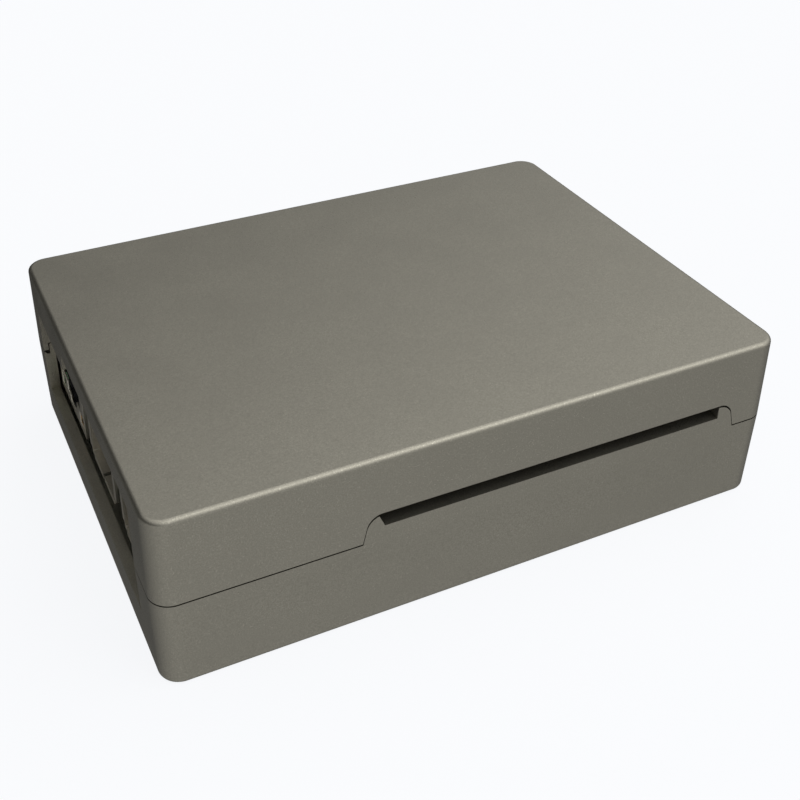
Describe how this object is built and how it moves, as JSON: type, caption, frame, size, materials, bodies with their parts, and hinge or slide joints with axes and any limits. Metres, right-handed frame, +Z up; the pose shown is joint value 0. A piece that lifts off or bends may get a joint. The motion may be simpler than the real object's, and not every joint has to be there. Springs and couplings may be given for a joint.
{
  "type": "single board computer in a metal case",
  "caption": "Single board computer in a two-part bead-blasted aluminium case with a socket window at one end and a ribbon slot along one side.",
  "frame": {"origin": "centre of the case's underside, on the plane it stands on", "axes": "+Z up, +X along the case away from the socket end, -Y the long side with the ribbon slot"},
  "size_m": [0.092, 0.068, 0.0265],
  "materials": {
    "case_aluminium": "bead-blasted and anodised warm grey, fine sparkling grain, satin",
    "screw_steel": "black oxide, satin",
    "board_green": "solder mask over copper tracks, satin gloss",
    "socket_steel": "tin-plated sheet steel, bright satin",
    "moulding_white": "moulded plastic, matt",
    "moulding_black": "moulded plastic, matt",
    "pin_gold": "gold-plated pins, bright",
    "chip_black": "moulded epoxy, matt",
    "capacitor_brown": "ceramic, matt",
    "ceramic_white": "glazed ceramic",
    "crystal_can": "drawn metal can, bright satin",
    "pad_grey": "soft silicone pad, matt",
    "lamp_green": "clear tinted plastic",
    "lamp_amber": "clear tinted plastic",
    "lamp_red": "clear tinted plastic"
  },
  "bodies": {
    "base": {"bottom_shell": "case_aluminium", "case_screw_1": "screw_steel", "case_screw_2": "screw_steel", "case_screw_3": "screw_steel", "case_screw_4": "screw_steel", "circuit_board": "board_green", "processor": "chip_black", "usb_hub_chip": "chip_black", "power_chip": "chip_black", "power_inductor_1": "chip_black", "power_inductor_2": "chip_black", "resettable_fuse": "chip_black", "network_crystal": "crystal_can", "processor_crystal": "crystal_can", "wireless_antenna": "ceramic_white", "power_lamp": "lamp_red", "activity_lamp": "lamp_green", "bulk_capacitor_1": "capacitor_brown", "bulk_capacitor_2": "capacitor_brown", "memory_chip": "chip_black", "wireless_chip": "chip_black", "thermal_pad": "pad_grey", "usb_socket_shell_1": "socket_steel", "usb_socket_insert_1": "moulding_black", "usb_socket_shell_2": "socket_steel", "usb_socket_insert_2": "moulding_black", "network_socket_shield": "socket_steel", "network_socket_insert": "moulding_black", "network_link_lamp": "lamp_green", "network_traffic_lamp": "lamp_amber", "pin_header": "moulding_black", "display_socket_shell": "socket_steel", "display_socket_tongue": "moulding_black", "power_socket_shell": "socket_steel", "power_socket_tongue": "moulding_black", "sound_socket": "moulding_black", "camera_connector": "moulding_white", "screen_connector": "moulding_white", "card_socket": "socket_steel"},
    "lid": {"top_shell": "case_aluminium"},
    "card": {"memory_card": "chip_black"},
    "camera_latch_bar": {"camera_latch": "moulding_black"},
    "screen_latch_bar": {"screen_latch": "moulding_black"}
  },
  "joints": [
    {"name": "lid_lift", "type": "slide", "parent": "base", "child": "lid", "axis": [0, 0, 1], "range_m": [0, 0.03]},
    {"name": "card_slide", "type": "slide", "parent": "base", "child": "card", "axis": [1, 0, 0], "range_m": [0, 0.0125]},
    {"name": "camera_latch_lift", "type": "slide", "parent": "base", "child": "camera_latch_bar", "axis": [0, 0, 1], "range_m": [0, 0.001]},
    {"name": "screen_latch_lift", "type": "slide", "parent": "base", "child": "screen_latch_bar", "axis": [0, 0, 1], "range_m": [0, 0.001]}
  ]
}
